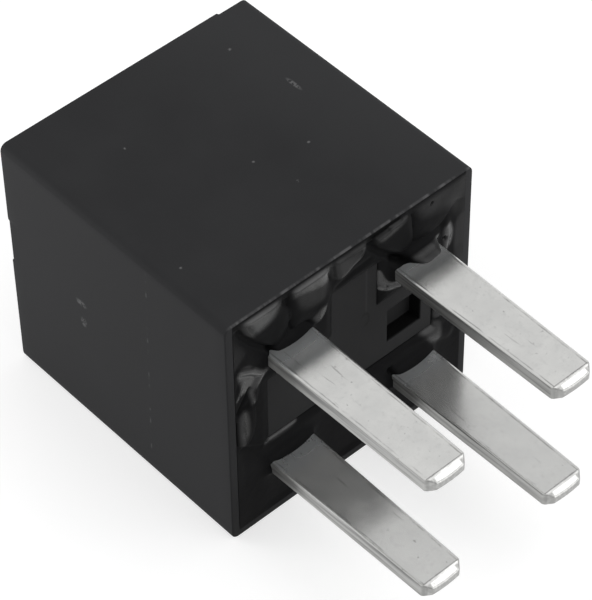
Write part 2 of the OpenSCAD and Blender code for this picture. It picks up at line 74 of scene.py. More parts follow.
# The cover's outside, from its node, and the sizes of its walls and edges
COVER_LOW, COVER_HIGH = (np.array(corner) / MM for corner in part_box("cover"))
RIM_X = COVER_HIGH[0]
MIDDLE_Z = (COVER_LOW[2] + COVER_HIGH[2]) / 2
HALF_Y = (COVER_HIGH[1] - COVER_LOW[1]) / 2
HALF_Z = (COVER_HIGH[2] - COVER_LOW[2]) / 2
LENGTH = RIM_X - COVER_LOW[0]
WALL = 0.8
END = 0.9  # thickness of the closed end
LONG_EDGE = 0.4  # radius of the four long edges outside
INNER_EDGE = 0.2  # and inside
END_EDGE = 0.14  # radius of the edges round the closed end
END_STEP = 0.2  # depth of the shallow steps in the closed end
STRIP_Y = HALF_Y - 1.9  # where the stepped strip along one edge begins
CHANNEL_Z = (-0.4, 2.6)  # the sides of the channel that crosses the closed end
RIM_EDGE = 0.08  # radius of the rim's outer edge
RIM_FLAT = 0.45  # how far in from the outside the rim's flat band ends
LEAD_IN = WALL - RIM_FLAT

# The blades, by the sides of the middle that they stand on along Y and Z
BLADES = {
    "common_terminal": (-1, 1),
    "open_contact_terminal": (1, 1),
    "coil_terminal_a": (-1, -1),
    "coil_terminal_b": (1, -1),
}
BLADE_Y = 4.05  # distance of a blade's middle from the relay's, along each axis
BLADE_Z = 3.9
BLADE_HALF_T = 0.4
BLADE_HALF_W = 1.4  # at the rim
BLADE_END_HALF_W = 1.25  # where the tip's corners are cut
TIP_HALF_W = 0.875  # between the cut corners
BLADE_OUT = 11
TIP_CUT = 0.5  # length of the tip's cut corners
TIP_BOW = 0.06  # how far the middle of a blade's end stands past its corners
BLADE_TAPER = (BLADE_HALF_W - BLADE_END_HALF_W) / (BLADE_OUT - TIP_CUT)

# The base's plate, its island with a tongue and a square pocket, and the potting round them
PLATE_X = -0.7
ISLAND_X = -0.2
ISLAND_Y = (-5.275, 5.575)
ISLAND_HALF_Z = 2.1
ISLAND_SLOPE = 0.4  # width of its sloping sides
TONGUE_Y = (-1.15, 1.85)
TONGUE_Z = 5.05  # where the tongue ends
POCKET_Y = 3.7  # middle of the pocket
POCKET_HALF = 1.125
POT_X = -0.03
LAP_X = 0.015  # where it laps the rim's flat
BANK = 0.55  # width of its bank round the island
POT_TOP_Z = HALF_Z - 2 * RIM_EDGE  # where its lap ends along the top
DRAWN_SIDE = 0.22  # how far it is drawn up at the corners of a blade
DRAWN_FACE = 0.26  # how much further in the middle of a blade's faces
DRAWN_MOST = 0.62  # how much further still along the upper right one
DRAWN_OVER = 0.16  # and the distance over which that dies away


# ---------------------------------------------------------------- shapes


def placed(x, y, z):
    """Millimetres from the rim and the middle, turned to the frame's metres, one point a row."""
    x, y, z = np.broadcast_arrays(x, y, z)
    return np.stack([RIM_X + x, y, MIDDLE_Z + z], -1).reshape(-1, 3) * MM


def smooth_step(value, low, high):
    """0 below low, 1 above high, and 3t^2 - 2t^3 of the share t of the way between them."""
    t = np.clip((value - low) / (high - low), 0, 1)
    return t * t * (3 - 2 * t)


def make_piece(name, points, faces, slot, sharp_over=32, painted=None):
    """Puts arrays of points and faces into a mesh with its slot's finish, leaves out points that
    no face uses, shades it smooth except over edges sharper than an angle in degrees, and rides
    it on the relay's body. What is painted is a number for each point, by name, for its finish to
    read."""
    used, faces = np.unique(faces, return_inverse=True)
    mesh = bpy.data.meshes.new(name)
    mesh.from_pydata(points[used], [], faces.reshape(-1, 4))
    for layer, values in (painted or {}).items():
        mesh.attributes.new(layer, "FLOAT", "POINT").data.foreach_set(
            "value", values[used].astype(np.float32))
    mesh.shade_smooth()
    mesh.set_sharp_from_angle(angle=math.radians(sharp_over))
    mesh.materials.append(finishes[slot])
    piece = bpy.data.objects.new(name, mesh)
    bpy.context.scene.collection.objects.link(piece)
    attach(piece, "relay")
    return piece


def grid_faces(rows, columns):
    """The four corners of each cell of a grid of points, going up the rows and then across."""
    corner = np.arange((rows - 1) * columns).reshape(rows - 1, columns)[:, :-1].ravel()
    return np.stack([corner, corner + columns, corner + columns + 1, corner + 1], -1)


def rounded_grid(half_y, half_z, radius, columns, rows):
    """A grid over a rectangle with round corners. Y runs through -1 to 1 of the straight middle
    part and through the corners' arcs, and at each Y the grid reaches half_z, or in a corner
    half_z - r + r cos(a), where a is the arc's angle."""
    arc = np.linspace(0, math.pi / 2, 7)
    side = half_y - radius + radius * np.sin(arc)
    reach = half_z - radius + radius * np.cos(arc)
    y = np.concatenate([-side[::-1], (half_y - radius) * columns, side])
    reach = np.concatenate([reach[::-1], np.full(len(columns), half_z), reach])
    return y[:, None] + 0 * rows, reach[:, None] * rows


def border(rows, columns):
    """The points round a grid's edge, anticlockwise seen from +X."""
    grid = np.arange(rows * columns).reshape(rows, columns)
    return np.concatenate([grid[:, 0], grid[-1, 1:], grid[-2::-1, -1], grid[0, -2:0:-1]])


def cup(levels):
    """A cup from grids of points: the first is its bottom seen from outside, the last its bottom
    seen from inside, and only the borders of those between count, as rings of its walls."""
    rows, columns = levels[0][1].shape
    size = rows * columns
    points = np.concatenate([placed(x, y, z) for x, y, z in levels])
    cap = grid_faces(rows, columns)
    ring = border(rows, columns)
    following = np.roll(ring, -1)
    walls = [
        np.stack([ring, following, following + size, ring + size], -1) + size * k
        for k in range(len(levels) - 1)
    ]
    return points, np.concatenate([cap[:, ::-1], *walls, cap + size * (len(levels) - 1)])


def slab(y, z, top, low, keep):
    """A slab over the grid of lines y and z, from its low face to its top one. Cells where keep
    is false are holes, and a wall joins the two faces along every open edge."""
    rows, columns = top.shape
    size = rows * columns
    points = np.concatenate([placed(face, y[:, None], z[None, :]) for face in (top, low)])
    cells = grid_faces(rows, columns)[keep.ravel()]
    a, b = cells.ravel(), np.roll(cells, -1, 1).ravel()
    open_edge = ~np.isin(a * size + b, b * size + a)
    a, b = a[open_edge], b[open_edge]
    walls = np.stack([b, a, a + size, b + size], -1)
    return points, np.concatenate([cells, cells[:, ::-1] + size, walls])


def cover_shape():
    """The cover as a cup. Each wall ring is the outline drawn in by an inset: the closed end's
    edge is a quarter circle, the rim is round outside, flat on top and has a lead-in inside."""
    beside = np.linspace(-0.15, 0.15, 7)  # lines beside the edges of the steps
    slope = 0.03  # half the width over which a step falls
    # the corners' arcs bring the lines at -1 and 1 along Y
    columns = np.unique(np.concatenate([
        np.linspace(-0.985, 0.985, 45), (STRIP_Y + beside) / (HALF_Y - LONG_EDGE)]))
    rows = np.unique(np.concatenate([
        np.linspace(-1, 1, 43), *((side + beside) / HALF_Z for side in CHANNEL_Z)]))

    def outline(inset):
        """The cover's section drawn in by an inset, always on the same lines."""
        radius = LONG_EDGE - inset * (LONG_EDGE - INNER_EDGE) / WALL
        return rounded_grid(HALF_Y - inset, HALF_Z - inset, radius, columns, rows)

    def level(x, inset):
        """One ring; its end is cut back by the shallow steps of the closed end."""
        y, z = outline(inset)
        strip = smooth_step(y, STRIP_Y - slope, STRIP_Y + slope)
        channel = smooth_step(z, CHANNEL_Z[0] - slope, CHANNEL_Z[0] + slope)
        channel = channel * smooth_step(-z, -CHANNEL_Z[1] - slope, -CHANNEL_Z[1] + slope)
        steps = END_STEP * np.maximum(strip, channel)
        return np.maximum(x, -LENGTH + steps), y, z

    quarter = np.linspace(0, math.pi / 2, 6)
    levels = [level(-LENGTH + END_EDGE * (1 - math.cos(a)), END_EDGE * (1 - math.sin(a)))
              for a in quarter]
    levels += [level(x, 0) for x in np.linspace(-LENGTH + END_EDGE, -RIM_EDGE, 26)[1:]]
    levels += [level(-RIM_EDGE * (1 - math.sin(a)), RIM_EDGE * (1 - math.cos(a)))
               for a in quarter[1:]]
    levels += [level(0, RIM_FLAT), level(-LEAD_IN, WALL)]
    inner_y, inner_z = outline(WALL)
    levels.append((np.full_like(inner_y, END - LENGTH), inner_y, inner_z))
    return cup(levels)


def capsule(y, z, path):
    """Distance of each point from a line through the points of a path."""
    best = np.full(np.broadcast(y, z).shape, 1e9)
    for (ya, za), (yb, zb) in zip(path[:-1], path[1:]):
        run = (yb - ya) ** 2 + (zb - za) ** 2
        t = np.clip(((y - ya) * (yb - ya) + (z - za) * (zb - za)) / run, 0, 1)
        best = np.minimum(best, np.hypot(y - ya - t * (yb - ya), z - za - t * (zb - za)))
    return best


def box_distance(y, z, low_y, high_y, low_z, high_z):
    """Distance from a rectangle, negative inside it."""
    dy = np.maximum(low_y - y, y - high_y)
    dz = np.maximum(low_z - z, z - high_z)
    return np.hypot(np.maximum(dy, 0), np.maximum(dz, 0)) + np.minimum(np.maximum(dy, dz), 0)


def island_distance(y, z):
    """Distance from the island's outline, negative inside it."""
    body = box_distance(y, z, *ISLAND_Y, -ISLAND_HALF_Z, ISLAND_HALF_Z)
    tongue = box_distance(y, z, *TONGUE_Y, 0, TONGUE_Z)
    return np.minimum(body, tongue)


def blade_distance(y, z, side_y, side_z, inset):
    """Distance from a blade's section at the rim, drawn in by an inset, negative inside it."""
    half_y, half_z = BLADE_HALF_W - inset, BLADE_HALF_T - inset
    return box_distance(y, z, side_y * BLADE_Y - half_y, side_y * BLADE_Y + half_y,
                        side_z * BLADE_Z - half_z, side_z * BLADE_Z + half_z)


def hump(distance, width):
    """A bell of height 1: (1 - (d / width)^2)^2 inside the width, and 0 outside it."""
    return np.clip(1 - (distance / width) ** 2, 0, 1) ** 2


def curved(corners):
    """A closed line through points, rounded as a Catmull-Rom curve: halfway between two of them
    it lies at (9 (b + c) - (a + d)) / 16 of the four round it, and so on by the cubic."""
    b = np.array(corners, float)
    a, c, d = np.roll(b, 1, 0), np.roll(b, -1, 0), np.roll(b, -2, 0)
    t = np.linspace(0, 1, 5)[:-1, None, None]
    line = 0.5 * (2 * b + (c - a) * t + (2 * a - 5 * b + 4 * c - d) * t ** 2
                  + (3 * b - a - 3 * c + d) * t ** 3)
    line = line.transpose(1, 0, 2).reshape(-1, 2)
    return np.concatenate([line, line[:1]])


def depth_inside(y, z, corners):
    """Distance inside a rounded closed line, and 0 outside it."""
    line = curved(corners)
    inside = np.zeros(np.broadcast(y, z).shape, bool)
    for (ya, za), (yb, zb) in zip(line[:-1], line[1:]):
        if za != zb:
            inside ^= ((za > z) != (zb > z)) & (y < ya + (yb - ya) * (z - za) / (zb - za))
    return np.where(inside, capsule(y, z, line), 0)


def lobe(y, z, corners, edge):
    """A lobe of thick resin in a rounded outline, of height 1. Its edge rises over the distance
    edge as a quarter of an ellipse: sqrt(1 - (1 - d / edge)^2)."""
    return np.sqrt(1 - (1 - np.clip(depth_inside(y, z, corners) / edge, 0, 1)) ** 2)


def crease(y, z, path, width):
    """A crease along a path: exp(-(d / width)^2), 1 on the path."""
    return np.exp(-(capsule(y, z, path) / width) ** 2)


# Lobes of the pour: corners, thickness, and the distance over which their edge rises
LOBES = (
    ([(-7.3, 8.0), (-7.0, 7.0), (-6.6, 6.3), (-6.0, 5.5), (-5.4, 4.8), (-4.7, 4.5), (-4.1, 5.1),
      (-3.95, 6.2), (-4.35, 7.0), (-4.7, 8.0)], 0.22, 0.8),
    ([(-3.8, 8.0), (-4.05, 7.0), (-4.0, 5.6), (-3.8, 4.8), (-3.0, 4.75), (-2.4, 4.1),
      (-1.9, 4.2), (-1.5, 5.0), (-1.35, 6.0), (-1.5, 7.0), (-1.2, 8.0)], 0.22, 0.7),
    ([(-1.1, 8.0), (-1.2, 7.2), (-1.0, 6.1), (-0.45, 6.0), (0.1, 6.3), (0.7, 6.55), (0.95, 7.2),
      (0.9, 8.0)], 0.18, 0.4),
    ([(1.05, 7.5), (1.35, 6.8), (1.9, 6.1), (2.6, 5.4), (3.3, 5.0), (3.9, 5.3), (3.9, 6.4),
      (3.7, 7.3), (3.0, 7.5), (2.0, 7.45)], 0.22, 0.45),
    ([(3.9, 8.2), (4.0, 6.6), (3.9, 5.4), (4.4, 5.0), (5.6, 5.0), (6.1, 5.2), (6.9, 5.9),
      (8.0, 6.0), (8.2, 8.2)], 0.14, 1.2),
    ([(-7.4, 1.3), (-6.7, 1.5), (-6.2, 1.1), (-6.2, 0.0), (-6.5, -1.0), (-7.1, -1.3),
      (-7.5, -0.9), (-7.5, 0.3)], 0.16, 0.35),
)
# Raised ridges: path, half width and height
RIDGES = (
    ([(1.6, 4.3), (1.75, 3.7), (2.15, 3.25), (2.75, 3.0), (3.1, 2.8)], 0.2, 0.16),
    ([(-7.2, 4.2), (-6.3, 3.7), (-5.7, 3.1), (-6.1, 2.5), (-6.3, 1.6)], 0.35, 0.14),
    ([(-7.0, 3.2), (-7.4, 2.3)], 0.3, 0.12),
    ([(6.2, 4.9), (6.35, 3.9), (6.2, 3.1)], 0.4, 0.12),
    ([(4.6, -2.2), (5.6, -2.7), (6.6, -3.2)], 0.6, 0.1),
)
# Creases, slits and pits: path, half width, depth, and how dark their painted shade is from 0 to 1
CREASES = (
    ([(-7.2, 7.4), (-6.9, 6.5), (-6.2, 5.5), (-5.5, 4.75), (-5.15, 4.4)], 0.14, 0.14, 0.1),
    ([(-5.2, 4.45), (-5.1, 4.15)], 0.16, 0.2, 0.8),
    ([(-4.2, 7.7), (-4.15, 6.9)], 0.2, 0.05, 0),
    ([(-3.6, 4.65), (-2.9, 4.6)], 0.18, 0.1, 0),
    ([(1.0, 7.5), (1.35, 6.5), (2.0, 5.7), (2.7, 4.95), (3.15, 4.5)], 0.17, 0.16, 0.2),
    ([(2.7, 4.85), (3.2, 4.5), (3.45, 4.4)], 0.26, 0.08, 1),
    ([(1.2, 7.43), (3.05, 7.43)], 0.11, 0.4, 0.95),
    ([(1.3, 7.3), (2.2, 7.38)], 0.17, 0.3, 0.95),
    ([(-6.45, 2.55), (-6.8, 2.0), (-7.3, 1.4)], 0.09, 0.12, 0),
    ([(-7.38, 0.8), (-7.38, -0.9)], 0.04, 0.3, 0.8),
    ([(-7.35, -1.0), (-6.9, -1.4), (-5.9, -2.1)], 0.1, 0.06, 0),
    ([(-0.9, 5.5), (0.1, 5.8), (1.1, 5.9)], 0.2, 0.08, 0.1),
    ([(6.15, 3.85), (6.15, 3.9)], 0.08, 0.2, 0.5),
    ([(5.1, 7.0), (5.15, 7.05)], 0.06, 0.12, 0.8),
    ([(-5.3, -3.7), (-5.3, -3.75)], 0.14, 0.3, 0.8),
    ([(2.6, -3.1), (2.75, -3.5)], 0.16, 0.2, 0.9),
    ([(1.5, -1.9), (3.0, -1.95), (4.4, -1.8)], 0.14, 0.08, 0.3),
)
# Where the skin is glossy: corners, how far in it takes to reach its most, and that most
GLOSS = (
    ([(-7.15, 7.9), (-7.0, 6.9), (-6.5, 6.0), (-5.7, 6.1), (-4.7, 6.6), (-4.4, 7.9)], 0.7, 1.0),
    ([(-4.0, 6.9), (-3.2, 6.6), (-2.2, 6.3), (-1.4, 6.5), (-1.2, 7.9), (-3.7, 7.9)], 0.6, 1.0),
    ([(-3.8, 7.2), (-3.6, 6.0), (-2.8, 5.4), (-1.7, 5.6), (-1.4, 7.2), (-2.5, 7.4)], 0.5, 0.26),
    ([(-2.7, 4.8), (-2.5, 4.3), (-2.0, 4.1), (-1.6, 4.5), (-1.6, 5.1), (-2.2, 5.2)], 0.3, 0.5),
    ([(-1.35, 7.9), (-1.3, 6.3), (-0.5, 5.9), (0.4, 6.3), (1.0, 7.0), (1.0, 7.9)], 0.4, 0.36),
    ([(1.15, 7.5), (1.5, 6.8), (2.1, 6.7), (3.4, 7.0), (3.5, 7.5)], 0.3, 0.4),
    ([(4.0, 8.1), (4.2, 6.4), (5.0, 5.9), (6.2, 5.6), (6.8, 4.6), (7.9, 4.2), (8.1, 8.1)], 0.8,
     0.24),
    ([(6.0, 4.7), (5.95, 3.9), (6.0, 3.0), (6.7, 3.0), (6.9, 3.9), (6.6, 4.8)], 0.3, 0.9),
    ([(3.8, 4.5), (3.9, 4.25), (5.5, 4.15), (5.7, 4.5)], 0.1, 0.8),
    ([(-7.3, 4.3), (-6.5, 4.3), (-5.8, 3.6), (-5.2, 3.0), (-5.7, 2.6), (-6.15, 2.2),
      (-6.1, 1.2), (-6.5, 1.4), (-6.7, 2.3), (-7.5, 2.2), (-7.2, 3.0)], 0.3, 1.0),
    ([(-7.35, 1.2), (-6.7, 1.4), (-6.5, 0.0), (-6.8, -1.1), (-7.35, -0.9)], 0.4, 0.6),
    ([(-5.5, -1.85), (-3.6, -1.85), (-3.6, -2.3), (-5.5, -2.3)], 0.15, 0.7),
    ([(4.5, -1.9), (5.8, -1.7), (6.3, -2.4), (6.1, -3.4), (5.4, -3.4), (4.9, -2.6)], 0.4, 0.55),
    ([(5.6, -0.6), (6.0, -0.6), (6.3, -1.6), (5.6, -1.7)], 0.2, 0.45),
    ([(1.45, 4.5), (1.6, 3.6), (2.0, 3.05), (3.1, 2.6), (3.2, 3.1), (2.4, 3.6), (2.0, 4.5)], 0.08,
     1.0),
    ([(-7.6, 7.2), (-7.2, 6.6), (-6.5, 5.3), (-7.0, 4.6), (-7.6, 4.6)], 0.35, 0.12),
    ([(6.9, 4.8), (6.75, 2.6), (7.0, 1.3), (7.7, 1.0), (7.9, 4.8)], 0.35, 0.35),
)


def potting_surface(y, z):
    """Height of the poured potting: a level pool, drawn up against the cover and the blades,
    with the lobes, folds and slits of a thick pour along the side that it was poured from. The
    pool's faint waves, of k radians a millimetre in seeded directions, are 0.008 / k high."""
    rng = np.random.default_rng(4)
    height = np.full(np.broadcast(y, z).shape, POT_X)
    for wave in (0.5, 0.9, 1.6, 2.7):
        for turn, shift in rng.uniform(0, 2 * math.pi, (5, 2)):
            height = height + 0.008 / wave * np.sin(
                wave * (y * math.cos(turn) + z * math.sin(turn)) + shift)
    for corners, thick, edge in LOBES:
        height = height + thick * lobe(y, z, corners, edge)
    for path, width, high in RIDGES:
        height = height + high * hump(capsule(y, z, path), width)
    # near the rim it falls to the level of the rim's flat, which its lobes cover along the top
    wall = np.minimum(HALF_Y - RIM_FLAT - abs(y), HALF_Z - RIM_FLAT + z)
    height = LAP_X + (height - LAP_X) * smooth_step(wall, -0.05, 0.55)
    height = LAP_X + (height - LAP_X) * smooth_step(POT_TOP_Z - z, -0.05, 0.3)
    # it is drawn up round each blade, most in the middle of its faces, and highest on the upper
    # side of the upper right one
    for side_y, side_z in BLADES.values():
        near = blade_distance(y, z, side_y, side_z, 0)
        bow = np.clip(1 - ((y - side_y * BLADE_Y) / 1.5) ** 2, 0, 1)
        drawn = DRAWN_SIDE + DRAWN_FACE * bow
        if side_y > 0 and side_z > 0:
            above = smooth_step(z, 3.8, 4) * smooth_step(y, 3.3, 4.2) * smooth_step(-y, -5.6, -5)
            drawn = drawn + DRAWN_MOST * above
        height = height + drawn * np.exp(-np.maximum(near, 0) / DRAWN_OVER)
    for path, width, deep, _ in CREASES:
        height = height - deep * crease(y, z, path, width)
    return height


def potting_gloss(y, z):
    """How glossy the potting's skin is, from 0 to 1: the most of all its glossy places, each
    rising smoothly from its outline, and none in the creases or at the top of the rim."""
    gloss = np.zeros(np.broadcast(y, z).shape)
    for corners, soft, most in GLOSS:
        gloss = np.maximum(gloss, most * smooth_step(depth_inside(y, z, corners), 0, soft))
    for path, width, *_ in CREASES:
        gloss = gloss * (1 - crease(y, z, path, 1.2 * width))
    return gloss * smooth_step(POT_TOP_Z - z, -0.05, 0.2)


def potting_painted_shade(y, z):
    """How dark the potting's pits and slits are painted as shade, from 0 to 1, most on their paths.
    """
    hollow = np.zeros(np.broadcast(y, z).shape)
    for path, width, _, dark in CREASES:
        hollow = np.maximum(hollow, dark * crease(y, z, path, width))
    return hollow


def potting_shape():
    """The potting as a slab with holes for the blades and the island, and what is painted on it.
    Its inner edge thins out on the island's sides, and it reaches a little way into the blades."""
    into = 0.03
    thin = 0.01  # the least that it is thick
    edges_y = [s * BLADE_Y + e * (BLADE_HALF_W - into) for s in (-1, 1) for e in (-1, 1)]
    edges_y += [*ISLAND_Y, *TONGUE_Y]
    edges_z = [s * BLADE_Z + e * (BLADE_HALF_T - into) for s in (-1, 1) for e in (-1, 1)]
    edges_z += [-ISLAND_HALF_Z, ISLAND_HALF_Z, 0, TONGUE_Z]
    reach_y, reach_z = HALF_Y - RIM_FLAT - 0.02, HALF_Z - RIM_FLAT - 0.02
    y = grid_lines(-reach_y, reach_y, 0.062, edges_y)
    # finer over the upper part, where the lobes are
    z = np.concatenate([grid_lines(-reach_z, -ISLAND_HALF_Z, 0.1, edges_z),
                        grid_lines(-ISLAND_HALF_Z, HALF_Z - RIM_EDGE, 0.055, edges_z)[1:]])
    at = y[:, None], z[None, :]
    # beside the island the top falls to its face, and the underside follows its sloping side
    out = island_distance(*at)
    bank = np.sin(np.clip(out / BANK, 0, 1) * math.pi / 2) ** 0.8
    height = ISLAND_X + (potting_surface(*at) - ISLAND_X) * bank
    foot = ISLAND_X - 2 * thin
    low = foot + (PLATE_X - foot) * np.clip(out / ISLAND_SLOPE, 0, 1)
    # over the cover's wall the underside follows the rim's lead-in, and then its flat
    over_wall = np.maximum(abs(at[0]) - (HALF_Y - WALL), abs(at[1]) - (HALF_Z - WALL))
    rim = np.minimum(over_wall - LEAD_IN, 0.002)
    low = np.maximum(low, np.where(over_wall > 0, rim, PLATE_X))
    height = np.maximum(height, low + thin)
    middle = ((y[1:] + y[:-1]) / 2)[:, None], ((z[1:] + z[:-1]) / 2)[None, :]
    keep = island_distance(*middle) > 0
    for side_y, side_z in BLADES.values():
        keep &= blade_distance(*middle, side_y, side_z, into) > 0
    return *slab(y, z, height, low, keep), {
        "shine": np.tile(potting_gloss(*at).ravel(), 2),
        "hollow": np.tile(potting_painted_shade(*at).ravel(), 2)}


def grid_lines(low, high, step, through):
    """Lines from low to high about a step apart, with one at each place in through."""
    marks = np.unique([low, high, *(at for at in through if low < at < high)])
    runs = [np.linspace(a, b, max(2, math.ceil((b - a) / step) + 1))[:-1]
            for a, b in zip(marks[:-1], marks[1:])]
    return np.concatenate([*runs, [high]])


def softened(name, slot, width, weigh=None, segments=3, ride="relay"):
    """A node's own shape with soft edges: a copy of its triangles is merged, its flats are
    joined, and its edges of over 25 degrees are rounded over a width in millimetres, or over the
    share of it that weigh gives for each edge's two ends."""
    sharp_over = math.radians(25)
    shape = bmesh.new()
    shape.from_mesh(nodes[name].data)
    bmesh.ops.remove_doubles(shape, verts=shape.verts, dist=2e-6)
    bmesh.ops.dissolve_limit(
        shape, angle_limit=math.radians(0.5), verts=shape.verts, edges=shape.edges)
    mesh = bpy.data.meshes.new(name + "_softened")
    shape.to_mesh(mesh)
    shape.free()
    piece = bpy.data.objects.new(name + "_dressed", mesh)
    bpy.context.scene.collection.objects.link(piece)
    mesh.shade_smooth()
    mesh.set_sharp_from_angle(angle=sharp_over)
    mesh.materials.append(finishes[slot])
    round_edges = piece.modifiers.new("soft edges", "BEVEL")
    round_edges.width = width * MM
    round_edges.segments = segments
    round_edges.use_clamp_overlap = False
    round_edges.harden_normals = True
    if weigh is None:
        round_edges.limit_method = "ANGLE"
        round_edges.angle_limit = sharp_over
    else:
        points = np.empty(len(mesh.vertices) * 3)
        mesh.vertices.foreach_get("co", points)
        ends = np.empty(len(mesh.edges) * 2, int)
        mesh.edges.foreach_get("vertices", ends)
        ends = points.reshape(-1, 3)[ends.reshape(-1, 2)] / MM - [RIM_X, 0, MIDDLE_Z]
        sharp = np.zeros(len(mesh.edges), bool)
        mesh.attributes["sharp_edge"].data.foreach_get("value", sharp)
        weight = mesh.attributes.new("bevel_weight_edge", "FLOAT", "EDGE")
        weight.data.foreach_set("value", np.where(sharp, weigh(ends), 0).astype(np.float32))
        round_edges.limit_method = "WEIGHT"
    if ride:
        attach(piece, ride)
    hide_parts(name)
    return piece


# ---------------------------------------------------------------- finishes
# Distances are millimetres from the rim and the middle, as in the shapes.


class Value:
    """A socket in a finish's node tree; sums written with it add Math nodes."""

    def __init__(self, tree, socket):
        self.tree, self.socket = tree, socket

    def feed(self, target):
        self.tree.links.new(self.socket, target)

    def math(self, operation, *terms):
        node = self.tree.nodes.new("ShaderNodeMath")
        node.operation = operation
        for target, term in zip(node.inputs, terms):
            if isinstance(term, Value):
                term.feed(target)
            else:
                target.default_value = term
        return Value(self.tree, node.outputs[0])

    def __add__(self, other):
        return self.math("ADD", self, other)

    def __radd__(self, other):
        return self.math("ADD", other, self)

    def __sub__(self, other):
        return self.math("SUBTRACT", self, other)

    def __rsub__(self, other):
        return self.math("SUBTRACT", other, self)

    def __mul__(self, other):
        return self.math("MULTIPLY", self, other)

    def __rmul__(self, other):
        return self.math("MULTIPLY", other, self)

    def __abs__(self):
        return self.math("ABSOLUTE", self)

    def at_least(self, other):
        return self.math("MAXIMUM", self, other)


class Finish:
    """A material being made, with the place on the relay in millimetres as x, y and z."""

    def __init__(self, name):
        self.material = bpy.data.materials.new(name)
        self.material.use_nodes = True
        self.tree = self.material.node_tree
        self.tree.nodes.clear()
        place = self.add("ShaderNodeTexCoord", output="Object")
        scaled = self.add("ShaderNodeVectorMath", {"operation": "SCALE"}, {0: place, "Scale": 1000})
        self.at = self.add("ShaderNodeVectorMath", {"operation": "SUBTRACT"},
                           {0: scaled, 1: (RIM_X, 0, MIDDLE_Z)})
        split = self.tree.nodes.new("ShaderNodeSeparateXYZ")
        self.at.feed(split.inputs[0])
        self.x, self.y, self.z = (Value(self.tree, out) for out in split.outputs)

    def add(self, kind, settings=None, inputs=None, output=0):
        """Any node: its type, its settings, and then the values or links of its inputs."""
        node = self.tree.nodes.new(kind)
        for key, value in (settings or {}).items():
            setattr(node, key, value)
        for key, value in (inputs or {}).items():
            if isinstance(value, Value):
                value.feed(node.inputs[key])
            else:
                node.inputs[key].default_value = value
        return Value(self.tree, node.outputs[output])

    def painted(self, layer):
        """What is painted on a piece's points under this name."""
        return self.add("ShaderNodeAttribute", {"attribute_name": layer}, None, "Fac")

    def noise(self, scale, detail, stretch=(1, 1, 1), roughness=0.5):
        """Noise from 0 to 1 with about scale cells to a millimetre along each axis."""
        at = self.add("ShaderNodeVectorMath", {"operation": "MULTIPLY"}, {0: self.at, 1: stretch})
        return self.add("ShaderNodeTexNoise", None, {
            "Vector": at, "Scale": scale, "Detail": detail, "Roughness": roughness})

    def step(self, value, low, high, start=0.0, end=1.0):
        """From start to end as the value goes smoothly from low to high."""
        return self.add("ShaderNodeMapRange", {"interpolation_type": "SMOOTHSTEP"}, {
            "Value": value, "From Min": low, "From Max": high, "To Min": start, "To Max": end})

    def blend(self, factor, first, second):
        """Two colours mixed by a factor."""
        ends = {n: v if isinstance(v, Value) else (*v, 1) for n, v in ((6, first), (7, second))}
        return self.add("ShaderNodeMix", {"data_type": "RGBA"}, {0: factor, **ends}, 2)

    def spot(self, centre, sizes, soft):
        """1 inside an ellipsoid round a place and 0 outside it, with a soft edge."""
        away = self.add("ShaderNodeVectorMath", {"operation": "SUBTRACT"}, {0: self.at, 1: centre})
        away = self.add("ShaderNodeVectorMath", {"operation": "DIVIDE"}, {0: away, 1: sizes})
        away = self.add("ShaderNodeVectorMath", {"operation": "LENGTH"}, {0: away}, "Value")
        return self.step(away, 1 - soft, 1, 1, 0)

    def bumps(self, height, depth, strength, over=None):
        """The surface's normal over a height from 0 to 1, with its depth in millimetres, on the
        normal of the bumps that it lies over."""
        inputs = {"Height": height, "Distance": depth * MM, "Strength": strength}
        if over:
            inputs["Normal"] = over
        return self.add("ShaderNodeBump", None, inputs)

    def done(self, **inputs):
        """The finished material; inputs are its shader's own, in lower case."""
        names = {key.replace("_", " ").title().replace("Ior", "IOR"): value
                 for key, value in inputs.items()}
        shader = self.add("ShaderNodeBsdfPrincipled", None, names)
        shader.feed(self.tree.nodes.new("ShaderNodeOutputMaterial").inputs["Surface"])
        return self.material


SCORE_X = 5.85  # how far from the rim a broken score runs down the side
# Scuffs and specks on the cover: place and half sizes
SCUFFS = (
    ((-10.9, -7.9, 0.85), (0.5, 0.1, 0.28)),
    ((-10.8, -7.9, -0.45), (0.28, 0.1, 0.42)),
    ((-10.0, 5.4, 7.65), (0.7, 0.16, 0.1)),
    ((-4.4, -6.75, 7.65), (0.12, 0.1, 0.1)),
    ((-6.5, 3.2, 7.65), (0.1, 0.12, 0.1)),
    ((-4.9, 1.05, 7.65), (0.12, 0.1, 0.1)),
    ((-14.0, 4.7, 7.65), (0.12, 0.16, 0.1)),
    ((-7.3, 0.35, 7.65), (0.1, 0.1, 0.1)),
    ((-12.2, -3.6, 7.65), (0.14, 0.08, 0.1)),
)


